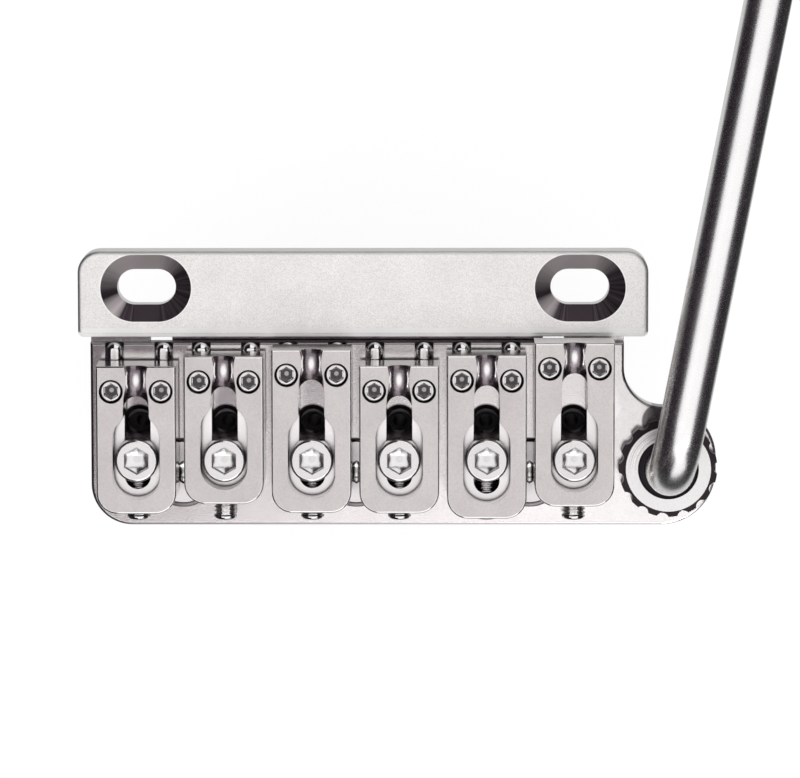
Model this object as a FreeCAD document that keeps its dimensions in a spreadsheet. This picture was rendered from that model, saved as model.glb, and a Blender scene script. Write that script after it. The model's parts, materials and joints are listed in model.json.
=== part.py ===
import FreeCAD, Part
import Sketcher
import math
import os
import re

os.makedirs("parts", exist_ok=True)

# Guitar tremolo bridge. +X points to the arm's side, +Y to the guitar's neck, +Z away from the guitar's top.
# The origin lies midway between the two mounting slots, on the guitar's top.

SIZES = {
    # front plate, screwed to the guitar
    "plate_length": 73.6,
    "plate_front": 4.75,
    "plate_rear": 6.33,
    "plate_height": 5.0,
    "plate_front_round": 2.8,
    "plate_rear_round": 0.8,
    "plate_edge_round": 0.55,
    "slot_inset": 8.8,
    "slot_width": 4.6,
    "slot_length": 7.6,
    "slot_rim": 2.05,
    "ledge_reach": 2.27,
    "ledge_gap": 0.6,
    "ledge_inset": 2.5,
    # pivot between front plate and base plate
    "pivot_behind": 5.0,
    "pivot_height": 1.8,
    "knuckle_radius": 1.7,
    "knuckle_room": 0.2,
    "bush_radius": 1.2,
    "pin_radius": 0.8,
    "pin_grip": 1.3,
    "pin_inset": 0.2,
    "ear_width": 7.7,
    "ear_inset_left": 1.6,
    "ear_inset_right": 3.13,
    "ear_room": 0.2,
    "ear_web": 1.4,
    "running_fit": 0.03,
    "seat_fit": 0.01,
    # base plate
    "base_margin_left": 1.2,
    "base_margin_right": 1.47,
    "base_front": 7.06,
    "base_rear": 30.77,
    "base_bottom": 1.8,
    "base_thickness": 3.2,
    "base_corner_round": 5.3,
    "base_edge_round": 0.35,
    "lug_front": 15.46,
    "lug_width": 11.92,
    "lug_inner_round": 5.17,
    "lug_front_round": 6.5,
    "lug_rear_round": 7.1,
    # strings and saddles
    "string_pitch": 11.2,
    "string_offset": -0.9,
    "saddle_width": 10.2,
    "saddle_height": 7.7,
    "saddle_lift": 0.7,
    "saddle_rear_round": 2.7,
    "saddle_edge_round": 0.3,
    "saddle_short": 19.0,
    "saddle_long": 21.0,
    "saddle_front_1": 9.2,
    "saddle_front_2": 7.94,
    "saddle_front_3": 7.08,
    "saddle_front_4": 9.15,
    "saddle_front_5": 7.83,
    "saddle_front_6": 6.27,
    "relief_depth": 1.0,
    "relief_length": 10.7,
    "slide_slot_width": 3.3,
    "slide_slot_front": 3.98,
    "slide_slot_wall": 2.75,
    "recess_width": 6.0,
    "recess_depth": 3.7,
    "recess_wall": 1.87,
    "recess_travel": 4.8,
    "throat_round": 0.9,
    "ramp_bend": 5.0,
    "ramp_radius": 1.6,
    "ramp_crest": 1.85,
    "ramp_depth": 0.63,
    # clamp screws
    "clamp_behind": 21.4,
    "clamp_radius": 1.5,
    "clamp_head_radius": 2.75,
    "clamp_head_height": 3.0,
    "clamp_head_gap": 0.6,
    "clamp_grip": 5.0,
    "clamp_hex": 3.0,
    "clamp_hex_depth": 1.6,
    # height screws and intonation screws
    "set_screw_radius": 1.5,
    "set_screw_hex": 1.5,
    "set_screw_hex_depth": 1.4,
    "set_screw_point": 0.5,
    "height_screw_side": 3.18,
    "height_screw_back": 3.25,
    "height_screw_sink": 0.35,
    "height_screw_gap": 0.1,
    "intonation_height": 2.05,
    "intonation_gap": 0.1,
    "intonation_length": 6.6,
    # guide rods
    "rod_radius": 1.2,
    "rod_sink": 0.1,
    "rod_tip": 6.92,
    "rod_length": 8.08,
    # inertia block and its screws
    "block_inset_left": 1.3,
    "block_inset_right": 1.57,
    "block_front": 13.2,
    "block_rear": 28.2,
    "block_height": 37.8,
    "block_round": 2.0,
    "block_edge_round": 0.8,
    "block_screw_behind": 23.9,
    "block_screw_radius": 2.0,
    "block_screw_head_radius": 4.45,
    "block_screw_length": 12.0,
    "block_screw_hex": 2.5,
    "block_screw_hex_depth": 1.5,
    "block_screw_sink": 0.05,
    "string_hole_behind": 17.3,
    "string_hole_radius": 1.6,
    "string_hole_sink": 0.57,
    "string_bore_behind": 18.3,
    "string_bore_radius": 1.9,
    "string_bore_depth": 6.0,
    "string_passage_radius": 0.85,
    "ball_bore_radius": 2.1,
    "ball_bore_depth": 14.0,
    "spring_hole_behind": 24.4,
    "spring_hole_radius": 1.3,
    "spring_hole_depth": 10.0,
    # arm and its bearing in the lug
    "arm_inset": 6.29,
    "arm_behind": 23.1,
    "arm_radius": 3.0,
    "arm_height": 18.0,
    "arm_bend": 7.0,
    "arm_reach": 125.0,
    "arm_angle": 11.0,
    "arm_end_bevel": 0.6,
    "bushing_radius": 4.5,
    "bushing_bore_radius": 3.9,
    "bushing_depth": 6.0,
    "ring_radius": 5.5,
    "ring_height": 0.75,
    "sleeve_sink": 1.0,
    "nut_width": 11.0,
    "nut_height": 3.0,
    "wheel_radius": 6.35,
    "wheel_height": 2.2,
    "wheel_gap": 0.25,
    "wheel_scallop_radius": 0.85,
    "wheel_scallop_depth": 0.5,
    "overrun": 1.0,
    # a hexagon's corner radius over its width across the flats
    "hex_corner_share": 0.57735,
}
STRINGS = 6
SADDLE_LENGTHS = ("saddle_short", "saddle_short", "saddle_long", "saddle_short", "saddle_long", "saddle_long")
WHEEL_LOBES = 15
MIDDLE_STRING = (STRINGS + 1) / 2
SIDES = (-1, 1)
SAME_PLACE = 1e-6

HEX_SIDES = 6
QUARTER_TURN = 90
X_AXIS = FreeCAD.Vector(1, 0, 0)
Y_AXIS = FreeCAD.Vector(0, 1, 0)
Z_AXIS = FreeCAD.Vector(0, 0, 1)

# turns that lay a piece made along +Z the way its name says
ALONG_X = FreeCAD.Rotation(Y_AXIS, QUARTER_TURN)
ALONG_BACK = FreeCAD.Rotation(X_AXIS, QUARTER_TURN)
ALONG_Y = FreeCAD.Rotation(X_AXIS, -QUARTER_TURN)
# a ring's first quarter becomes the bend from the arm's post into its bar
BEND_TURN = FreeCAD.Rotation(-Y_AXIS, Z_AXIS, -X_AXIS, "XYZ")

doc = FreeCAD.newDocument("tremolo_bridge")
sheet = doc.addObject("Spreadsheet::Sheet", "sizes")
for row, (alias, value) in enumerate(SIZES.items(), start=1):
    sheet.set(f"A{row}", alias)
    sheet.set(f"B{row}", str(value))
    sheet.setAlias(f"B{row}", alias)
doc.recompute()

nodes = {}


def bind(thing, prop, text):
    # ties a property to the named sizes
    def in_sheet(word):
        return f"sizes.{word[0]}" if word[0] in SIZES else word[0]

    thing.setExpression(prop, re.sub(r"[a-z]\w*", in_sheet, text))


def place(thing, at, turn=None):
    if turn is not None:
        thing.Placement = FreeCAD.Placement(FreeCAD.Vector(), turn)
    for axis, text in zip("xyz", at):
        bind(thing, f"Placement.Base.{axis}", text)
    return thing


def solid(kind, name, at=("0", "0", "0"), turn=None, **lengths):
    thing = doc.addObject(f"Part::{kind}", name)
    for prop, text in lengths.items():
        bind(thing, prop, text)
    return place(thing, at, turn)


def box(name, x_range, y_range, z_range):
    spans = [f"({high}) - ({low})" for low, high in (x_range, y_range, z_range)]
    at = (x_range[0], y_range[0], z_range[0])
    return solid("Box", name, at, Length=spans[0], Width=spans[1], Height=spans[2])


def rod(name, radius, length, at, turn=None):
    return solid("Cylinder", name, at, turn, Radius=radius, Height=length)


def joined(name, pieces):
    union = doc.addObject("Part::MultiFuse", name)
    union.Shapes = pieces
    return union


def cut(name, base, tools):
    result = doc.addObject("Part::Cut", name)
    result.Base = base
    result.Tool = tools[0] if len(tools) == 1 else joined(f"{name}_tools", tools)
    return result


def group(name, pieces):
    compound = doc.addObject("Part::Compound", name)
    compound.Links = pieces
    return compound


def node(label, thing):
    thing.Label = label
    nodes[label] = thing
    return thing


def string_x(number):
    # a place between two strings has a half number
    return f"(string_offset + string_pitch * {number - MIDDLE_STRING})"


def upright_over(edge, point):
    return all(math.hypot(end.X - point.x, end.Y - point.y) < SAME_PLACE for end in edge.Vertexes)


def plate_body(name, corners, bottom, height, rounds, edge_radius, rounded_side=1):
    # a plate with the outline given corner by corner, rounded uprights and one face with rounded edges
    body = doc.addObject("PartDesign::Body", f"{name}_body")
    outline = body.newObject("Sketcher::SketchObject", f"{name}_outline")
    ground = next(plane for plane in body.Origin.OriginFeatures if plane.Role == "XY_Plane")
    outline.AttachmentSupport = [(ground, "")]
    outline.MapMode = "FlatFace"
    bind(outline, "AttachmentOffset.Base.z", bottom)
    count = len(corners)
    turns = [2 * math.pi * index / count for index in range(count)]
    start = [FreeCAD.Vector(math.cos(turn), math.sin(turn), 0) for turn in turns]
    for index in range(count):
        outline.addGeometry(Part.LineSegment(start[index], start[(index + 1) % count]))
    for index in range(count):
        outline.addConstraint(Sketcher.Constraint("Coincident", index, 2, (index + 1) % count, 1))
    for index, corner in enumerate(corners):
        for kind, text in zip(("DistanceX", "DistanceY"), corner):
            fixed = outline.addConstraint(Sketcher.Constraint(kind, -1, 1, index, 1, 1.0))
            bind(outline, f"Constraints[{fixed}]", text)
    last = body.newObject("PartDesign::Pad", f"{name}_pad")
    last.Profile = outline
    bind(last, "Length", height)
    doc.recompute()
    for index, radius in rounds.items():
        point = outline.getPoint(index, 1)
        edges = enumerate(last.Shape.Edges, start=1)
        uprights = [f"Edge{number}" for number, edge in edges if upright_over(edge, point)]
        fillet = body.newObject("PartDesign::Fillet", f"{name}_round_{index}")
        fillet.Base = (last, uprights)
        bind(fillet, "Radius", radius)
        last = fillet
        doc.recompute()
    faces = last.Shape.Faces
    chosen = max(range(len(faces)), key=lambda index: rounded_side * faces[index].CenterOfMass.z)
    edge_round = body.newObject("PartDesign::Fillet", f"{name}_edge_round")
    edge_round.Base = (last, [f"Face{chosen + 1}"])
    bind(edge_round, "Radius", edge_radius)
    doc.recompute()
    return body


def slot_along_y(name, width, front_y, rear_y, z_range):
    # a round-ended slot on the piece's middle line, between two end centres
    height = f"({z_range[1]}) - ({z_range[0]})"
    front_end = rod(f"{name}_front", f"{width} / 2", height, ("0", front_y, z_range[0]))
    rear_end = rod(f"{name}_rear", f"{width} / 2", height, ("0", rear_y, z_range[0]))
    middle = box(f"{name}_middle", (f"-{width} / 2", f"{width} / 2"), (rear_y, front_y), z_range)
    return joined(name, [front_end, rear_end, middle])


def set_screw(name, length, at, turn=None):
    # pointed end at the start, hexagon socket at the far end
    point = solid("Cone", f"{name}_point", Radius1="set_screw_radius - set_screw_point",
                  Radius2="set_screw_radius", Height="set_screw_point")
    shank = rod(f"{name}_shank", "set_screw_radius", f"({length}) - set_screw_point",
                ("0", "0", "set_screw_point"))
    socket = hexagon(f"{name}_socket", "set_screw_hex", f"({length}) - set_screw_hex_depth",
                     "set_screw_hex_depth + overrun")
    return place(cut(name, joined(f"{name}_blank", [point, shank]), [socket]), at, turn)


def hexagon(name, width, bottom, height, at=("0", "0")):
    corner = f"({width}) * hex_corner_share"
    prism = solid("Prism", name, (*at, bottom), Circumradius=corner, Height=height)
    prism.Polygon = HEX_SIDES
    return prism


# levels and places that several pieces share
gap_share = 0.5
spring_gaps = [number + gap_share for number in range(1, STRINGS)]
block_screw_gaps = spring_gaps[::2]
first_side = f"(saddle_width / 2 - {string_x(1)})"
last_side = f"(saddle_width / 2 + {string_x(STRINGS)})"
base_left = f"max(plate_length / 2 - ear_inset_left; {first_side} + base_margin_left)"
base_right = f"max(plate_length / 2 - ear_inset_right; {last_side} + base_margin_right)"
lug_right = f"({base_right} + lug_width)"
arm_across = f"({lug_right} - arm_inset)"
base_top = "(base_bottom + base_thickness)"
saddle_bottom = f"({base_top} + saddle_lift)"
saddle_top = f"({saddle_bottom} + saddle_height)"
rod_level = f"({base_top} - rod_sink)"
pivot_y = "-pivot_behind"
pocket_radius = "(knuckle_radius + knuckle_room)"
block_screw_top = f"({base_top} - block_screw_sink)"
block_screw_cone = f"({block_screw_top} - block_screw_head_radius + block_screw_radius)"
block_screw_tip = f"({block_screw_top} - block_screw_length)"
clamp_seat = f"({saddle_top} - recess_depth + clamp_head_gap)"
clamp_tip = "(base_bottom - clamp_grip)"
wheel_bottom = f"({base_top} + wheel_gap)"
ring_bottom = f"({wheel_bottom} + wheel_height + wheel_gap)"
ring_top = f"({ring_bottom} + ring_height)"
bushing_bottom = "(base_bottom - bushing_depth)"
block_bottom = "(base_bottom - block_height)"
arm_axis = (arm_across, "-arm_behind")
ears = {
    "left": ("-plate_length / 2 + ear_inset_left", "-plate_length / 2 + ear_inset_left + ear_width"),
    "right": ("plate_length / 2 - ear_inset_right - ear_width", "plate_length / 2 - ear_inset_right"),
}
pin_spans = {
    "left": ("-plate_length / 2 + pin_inset", f"{ears['left'][1]} + ear_room + pin_grip"),
    "right": (f"{ears['right'][0]} - ear_room - pin_grip", "plate_length / 2 - pin_inset"),
}
pin_holes = {
    "left": ("-plate_length / 2 - overrun", pin_spans["left"][1]),
    "right": (pin_spans["right"][0], "plate_length / 2 + overrun"),
}
rod_places = [
    (f"{number}_{side}", f"{string_x(number)} + {side} * height_screw_side")
    for number in range(1, STRINGS + 1)
    for side in SIDES
]


def front_plate():
    half = "plate_length / 2"
    corners = [
        (f"-{half}", "-plate_rear"), (half, "-plate_rear"),
        (half, "plate_front"), (f"-{half}", "plate_front"),
    ]
    rounds = {0: "plate_rear_round", 1: "plate_rear_round", 2: "plate_front_round", 3: "plate_front_round"}
    plate = plate_body("front_plate", corners, "0", "plate_height", rounds, "plate_edge_round")
    # a low ledge under the base plate closes the gap between the two plates
    ledge_left = f"{ears['left'][1]} + ear_room + ledge_inset"
    ledge_right = f"{ears['right'][0]} - ear_room - ledge_inset"
    ledge = box("ledge", (ledge_left, ledge_right), ("-plate_rear - ledge_reach", "-plate_rear + overrun"),
                ("0", "base_bottom - ledge_gap"))
    tools = []
    reach = "(slot_length - slot_width) / 2"
    sink = "(slot_rim + overrun)"
    for side in SIDES:
        middle = f"{side} * (plate_length / 2 - slot_inset)"
        for end in SIDES:
            at = f"{middle} + {end} * {reach}"
            tools.append(rod(f"slot_{side}_{end}", "slot_width / 2", "plate_height + 2 * overrun",
                             (at, "0", "-overrun")))
            tools.append(solid("Cone", f"sink_{side}_{end}", (at, "0", "plate_height - slot_rim"),
                               Radius1="slot_width / 2", Radius2=f"slot_width / 2 + {sink}", Height=sink))
        tools.append(box(f"slot_{side}", (f"{middle} - {reach}", f"{middle} + {reach}"),
                         ("-slot_width / 2", "slot_width / 2"), ("-overrun", "plate_height + overrun")))
        tools.append(solid("Wedge", f"sink_{side}", (middle, "0", "plate_height - slot_rim"), ALONG_BACK,
                           Xmin=f"-{reach}", Xmax=reach, X2min=f"-{reach}", X2max=reach, Ymin="0", Ymax=sink,
                           Zmin="-slot_width / 2", Zmax="slot_width / 2",
                           Z2min=f"-slot_width / 2 - {sink}", Z2max=f"slot_width / 2 + {sink}"))
    for side, (low, high) in ears.items():
        span = (f"{low} - ear_room", f"{high} + ear_room")
        width = "ear_width + 2 * ear_room"
        tools.append(box(f"pocket_{side}_rear", span, ("-plate_rear - overrun", pivot_y),
                         ("-overrun", f"pivot_height + {pocket_radius}")))
        tools.append(box(f"pocket_{side}_foot", span, (pivot_y, f"{pivot_y} + {pocket_radius}"),
                         ("-overrun", "pivot_height")))
        tools.append(rod(f"pocket_{side}_round", pocket_radius, width,
                         (span[0], pivot_y, "pivot_height"), ALONG_X))
        start, end = pin_holes[side]
        tools.append(rod(f"pin_hole_{side}", "pin_radius + seat_fit", f"({end}) - ({start})",
                         (start, pivot_y, "pivot_height"), ALONG_X))
    node("front_plate", cut("front_plate", joined("front_plate_blank", [plate, ledge]), tools))


def pivots():
    pins = []
    bushes = []
    for side, ear in ears.items():
        start, end = pin_spans[side]
        pins.append(rod(f"pivot_pin_{side}", "pin_radius", f"({end}) - ({start})",
                        (start, pivot_y, "pivot_height"), ALONG_X))
        outer = rod(f"bush_{side}_outer", "bush_radius", "ear_width",
                    (ear[0], pivot_y, "pivot_height"), ALONG_X)
        bore = rod(f"bush_{side}_bore", "pin_radius + running_fit", "ear_width + 2 * overrun",
                   (f"{ear[0]} - overrun", pivot_y, "pivot_height"), ALONG_X)
        bushes.append(cut(f"pivot_bush_{side}", outer, [bore]))
    node("pivot_pins", group("pivot_pins", pins))
    node("pivot_bushes", group("pivot_bushes", bushes))


def base_plate():
    corners = [
        (f"-{base_left}", "-base_rear"), (lug_right, "-base_rear"), (lug_right, "-lug_front"),
        (base_right, "-lug_front"), (base_right, "-base_front"), (f"-{base_left}", "-base_front"),
    ]
    rounds = {0: "base_corner_round", 1: "lug_rear_round", 2: "lug_front_round", 3: "lug_inner_round"}
    pieces = [plate_body("base_plate", corners, "base_bottom", "base_thickness", rounds, "base_edge_round")]
    through = "base_thickness + 2 * overrun"
    below = "base_bottom - overrun"
    tools = []
    for side, (low, high) in ears.items():
        pieces.append(rod(f"knuckle_{side}", "knuckle_radius", "ear_width",
                          (low, pivot_y, "pivot_height"), ALONG_X))
        pieces.append(box(f"web_{side}", (low, high), ("-base_front - overrun", pivot_y),
                          ("pivot_height", "pivot_height + ear_web")))
        tools.append(rod(f"bush_seat_{side}", "bush_radius + seat_fit", "ear_width + 2 * overrun",
                         (f"{low} - overrun", pivot_y, "pivot_height"), ALONG_X))
    for name, across in rod_places:
        tools.append(rod(f"groove_{name}", "rod_radius + seat_fit",
                         "rod_length + rod_tip - base_front + overrun",
                         (across, "-base_front + overrun", rod_level), ALONG_BACK))
    for number in range(1, STRINGS + 1):
        at = string_x(number)
        tools.append(rod(f"clamp_hole_{number}", "clamp_radius + seat_fit", through,
                         (at, "-clamp_behind", below)))
        tools.append(rod(f"string_hole_{number}", "string_hole_radius", through,
                         (at, "-string_hole_behind", below)))
        tools.append(solid("Cone", f"string_sink_{number}",
                           (at, "-string_hole_behind", f"{base_top} - string_hole_sink"),
                           Radius1="string_hole_radius", Height="string_hole_sink + overrun",
                           Radius2="string_hole_radius + string_hole_sink + overrun"))
    for gap in block_screw_gaps:
        at = (string_x(gap), "-block_screw_behind")
        hole_radius = "block_screw_radius + seat_fit"
        tools.append(rod(f"block_hole_{gap}", hole_radius, through, (*at, below)))
        depth = f"({base_top} - {block_screw_cone} + overrun)"
        tools.append(solid("Cone", f"block_sink_{gap}", (*at, block_screw_cone), Height=depth,
                           Radius1=hole_radius, Radius2=f"{hole_radius} + {depth}"))
    tools.append(rod("bushing_hole", "bushing_radius + seat_fit", through, (*arm_axis, below)))
    node("base_plate", cut("base_plate", joined("base_plate_blank", pieces), tools))


def guide_rods():
    rods = []
    for name, across in rod_places:
        nose_y = "-rod_tip - rod_radius"
        shank = rod(f"rod_{name}_shank", "rod_radius", "rod_length - rod_radius",
                    (across, nose_y, rod_level), ALONG_BACK)
        nose = solid("Sphere", f"rod_{name}_nose", (across, nose_y, rod_level), Radius="rod_radius")
        rods.append(joined(f"guide_rod_{name}", [shank, nose]))
    node("guide_rods", group("guide_rods", rods))


def clamp_screws():
    screws = []
    for number in range(1, STRINGS + 1):
        at = (string_x(number), "-clamp_behind")
        shank = rod(f"clamp_{number}_shank", "clamp_radius", f"{clamp_seat} - {clamp_tip}", (*at, clamp_tip))
        head = rod(f"clamp_{number}_head", "clamp_head_radius", "clamp_head_height", (*at, clamp_seat))
        socket_floor = f"{clamp_seat} + clamp_head_height - clamp_hex_depth"
        socket = hexagon(f"clamp_{number}_socket", "clamp_hex", socket_floor, "clamp_hex_depth + overrun", at)
        screws.append(cut(f"clamp_screw_{number}", joined(f"clamp_{number}_blank", [shank, head]), [socket]))
    node("clamp_screws", group("clamp_screws", screws))


def block_screws():
    screws = []
    for gap in block_screw_gaps:
        at = (string_x(gap), "-block_screw_behind")
        head = solid("Cone", f"block_screw_{gap}_head", (*at, block_screw_cone), Radius1="block_screw_radius",
                     Radius2="block_screw_head_radius", Height="block_screw_head_radius - block_screw_radius")
        shank = rod(f"block_screw_{gap}_shank", "block_screw_radius",
                    f"{block_screw_cone} - {block_screw_tip}", (*at, block_screw_tip))
        socket = hexagon(f"block_screw_{gap}_socket", "block_screw_hex",
                         f"{block_screw_top} - block_screw_hex_depth", "block_screw_hex_depth + overrun", at)
        screws.append(cut(f"block_screw_{gap}", joined(f"block_screw_{gap}_blank", [head, shank]), [socket]))
    node("block_screws", group("block_screws", screws))


def inertia_block():
    left = f"block_inset_left - {base_left}"
    right = f"{base_right} - block_inset_right"
    corners = [(left, "-block_rear"), (right, "-block_rear"), (right, "-block_front"), (left, "-block_front")]
    rounds = {index: "block_round" for index in range(len(corners))}
    blank = plate_body("inertia_block", corners, block_bottom, "block_height", rounds, "block_edge_round",
                       rounded_side=-1)
    tools = []
    for number in range(1, STRINGS + 1):
        across = string_x(number)
        at = (across, "-string_bore_behind")
        tools.append(rod(f"clamp_tap_{number}", "clamp_radius + seat_fit", "clamp_grip + seat_fit + overrun",
                         (across, "-clamp_behind", f"{clamp_tip} - seat_fit")))
        tools.append(rod(f"string_bore_{number}", "string_bore_radius", "string_bore_depth + overrun",
                         (*at, "base_bottom - string_bore_depth")))
        tools.append(rod(f"passage_{number}", "string_passage_radius", "block_height + 2 * overrun",
                         (*at, f"{block_bottom} - overrun")))
        tools.append(rod(f"ball_bore_{number}", "ball_bore_radius", "ball_bore_depth + overrun",
                         (*at, f"{block_bottom} - overrun")))
    tap_bottom = f"({block_screw_tip} - seat_fit)"
    for gap in block_screw_gaps:
        tools.append(rod(f"block_tap_{gap}", "block_screw_radius + seat_fit",
                         f"base_bottom - {tap_bottom} + overrun",
                         (string_x(gap), "-block_screw_behind", tap_bottom)))
    for gap in spring_gaps:
        tools.append(rod(f"spring_hole_{gap}", "spring_hole_radius", "spring_hole_depth + overrun",
                         (string_x(gap), "-spring_hole_behind", f"{block_bottom} - overrun")))
    node("inertia_block", cut("inertia_block", blank, tools))


def throat_edges(shape):
    # the upright corners where the narrow slot opens into the screw's recess
    half = sheet.slide_slot_width / 2
    slot_start = -sheet.slide_slot_front - half
    recess_floor = sheet.saddle_height - sheet.recess_depth
    found = []
    for index, edge in enumerate(shape.Edges, start=1):
        corner = edge.Vertexes[0]
        upright = len(edge.Vertexes) == 2 and upright_over(edge, corner.Point)
        on_slot = abs(abs(corner.X) - half) < SAME_PLACE
        behind_ramp = corner.Y < slot_start - SAME_PLACE
        above_floor = max(end.Z for end in edge.Vertexes) > recess_floor + SAME_PLACE
        if upright and on_slot and behind_ramp and above_floor:
            found.append(index)
    return found


def saddle(number):
    name = f"saddle_{number}"
    length = SADDLE_LENGTHS[number - 1]
    half = "saddle_width / 2"
    corners = [(f"-{half}", f"-{length}"), (half, f"-{length}"), (half, "0"), (f"-{half}", "0")]
    rounds = {0: "saddle_rear_round", 1: "saddle_rear_round"}
    blank = plate_body(name, corners, "0", "saddle_height", rounds, "saddle_edge_round")
    above = "saddle_height + overrun"
    slot_rear = f"-({length} - slide_slot_wall - slide_slot_width / 2)"
    recess_rear = f"-({length} - recess_wall - recess_width / 2)"
    tools = [
        box(f"{name}_relief", (f"-{half} - overrun", f"{half} + overrun"), ("-relief_length", "overrun"),
            ("-overrun", "relief_depth")),
        slot_along_y(f"{name}_slot", "slide_slot_width", "-slide_slot_front - slide_slot_width / 2",
                     slot_rear, ("-overrun", above)),
        slot_along_y(f"{name}_recess", "recess_width", f"{recess_rear} + recess_travel", recess_rear,
                     ("saddle_height - recess_depth", above)),
        solid("Torus", f"{name}_ramp",
              ("0", "-ramp_crest", "saddle_height - ramp_depth + ramp_radius - ramp_bend"), ALONG_X,
              Radius1="ramp_bend", Radius2="ramp_radius"),
        rod(f"{name}_rear_tap", "set_screw_radius + running_fit", f"{length} + {slot_rear} + overrun",
            ("0", slot_rear, "intonation_height"), ALONG_BACK),
    ]
    for side in SIDES:
        tools.append(rod(f"{name}_tap_{side}", "set_screw_radius + running_fit",
                         "saddle_height + 2 * overrun",
                         (f"{side} * height_screw_side", "-height_screw_back", "-overrun")))
    carved = cut(f"{name}_carved", blank, tools)
    doc.recompute()
    rounded = doc.addObject("Part::Fillet", name)
    rounded.Base = carved
    rounded.Edges = [(index, sheet.throat_round, sheet.throat_round) for index in throat_edges(carved.Shape)]
    place(rounded, (string_x(number), f"-saddle_front_{number}", saddle_bottom))
    node(name, rounded)


def saddle_screws(number):
    top = f"{saddle_top} - height_screw_sink"
    tip = f"({rod_level} + rod_radius + height_screw_gap)"
    pair = []
    for side in SIDES:
        across = f"{string_x(number)} + {side} * height_screw_side"
        at = (across, f"-saddle_front_{number} - height_screw_back", tip)
        pair.append(set_screw(f"height_screw_{number}_{side}", f"{top} - {tip}", at))
    node(f"height_screws_{number}", group(f"height_screws_{number}", pair))
    bearing = "-(clamp_behind + clamp_radius + intonation_gap)"
    at = (string_x(number), bearing, f"{saddle_bottom} + intonation_height")
    screw = set_screw(f"intonation_screw_{number}", "intonation_length", at, ALONG_BACK)
    node(f"intonation_screw_{number}", screw)


def arm_bearing():
    def tube(name, radius, bore, low, high):
        length = f"({high}) - ({low})"
        outer = rod(f"{name}_outer", radius, length, (*arm_axis, low))
        hole = rod(f"{name}_bore", bore, f"{length} + 2 * overrun", (*arm_axis, f"{low} - overrun"))
        return outer, hole

    ring = rod("bushing_ring", "ring_radius", "ring_height", (*arm_axis, ring_bottom))
    barrel, bore = tube("bushing", "bushing_radius", "bushing_bore_radius", bushing_bottom, ring_top)
    node("arm_bushing", cut("arm_bushing", joined("bushing_blank", [ring, barrel]), [bore]))

    lining, passage = tube("sleeve", "bushing_bore_radius - seat_fit", "arm_radius + running_fit",
                           bushing_bottom, f"{ring_top} - sleeve_sink")
    node("arm_sleeve", cut("arm_sleeve", lining, [passage]))

    nut = hexagon("nut_blank", "nut_width", "base_bottom - nut_height", "nut_height", arm_axis)
    thread = rod("nut_bore", "bushing_radius + seat_fit", "nut_height + 2 * overrun",
                 (*arm_axis, "base_bottom - nut_height - overrun"))
    node("bushing_nut", cut("bushing_nut", nut, [thread]))

    disc, hub = tube("wheel", "wheel_radius", "bushing_radius + running_fit", wheel_bottom,
                     f"{wheel_bottom} + wheel_height")
    scallops = [hub]
    reach = "(wheel_radius - wheel_scallop_depth + wheel_scallop_radius)"
    for lobe in range(WHEEL_LOBES):
        turn = 2 * math.pi * lobe / WHEEL_LOBES
        at = (f"{arm_across} + {reach} * {math.cos(turn)}", f"-arm_behind + {reach} * {math.sin(turn)}")
        scallops.append(rod(f"wheel_scallop_{lobe}", "wheel_scallop_radius", "wheel_height + 2 * overrun",
                            (*at, f"{wheel_bottom} - overrun")))
    node("tension_wheel", cut("tension_wheel", disc, scallops))


def arm():
    bend_level = "(arm_height - arm_bend)"
    post_bottom = f"({bushing_bottom} + arm_end_bevel)"
    elbow = solid("Torus", "arm_elbow", ("0", "arm_bend", bend_level), BEND_TURN,
                  Radius1="arm_bend", Radius2="arm_radius")
    elbow.Angle3 = QUARTER_TURN
    pieces = [
        solid("Cone", "arm_point", ("0", "0", bushing_bottom), Radius1="arm_radius - arm_end_bevel",
              Radius2="arm_radius", Height="arm_end_bevel"),
        rod("arm_post", "arm_radius", f"{bend_level} - {post_bottom}", ("0", "0", post_bottom)),
        elbow,
        rod("arm_bar", "arm_radius", "arm_reach - arm_radius - arm_bend",
            ("0", "arm_bend", "arm_height"), ALONG_Y),
        solid("Sphere", "arm_end", ("0", "arm_reach - arm_radius", "arm_height"), Radius="arm_radius"),
    ]
    whole = joined("arm", pieces)
    place(whole, (*arm_axis, "0"), FreeCAD.Rotation(Z_AXIS, -sheet.arm_angle))
    node("arm", whole)


front_plate()
pivots()
base_plate()
guide_rods()
clamp_screws()
block_screws()
inertia_block()
for string in range(1, STRINGS + 1):
    saddle(string)
    saddle_screws(string)
arm_bearing()
arm()
doc.recompute()

for thing in doc.Objects:
    if "Invalid" in thing.State or "Error" in thing.State:
        raise RuntimeError(f"{thing.Label} did not build: {thing.State}")
for label, thing in nodes.items():
    if thing.Shape.isNull() or not thing.Shape.isValid():
        raise RuntimeError(f"{label} has no valid shape")
for label, thing in nodes.items():
    thing.Shape.exportStep(f"parts/{label}.step")
    print(label, len(thing.Shape.Solids), "solids", round(thing.Shape.Volume, 2), "mm3")
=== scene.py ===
import json
import math

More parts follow.
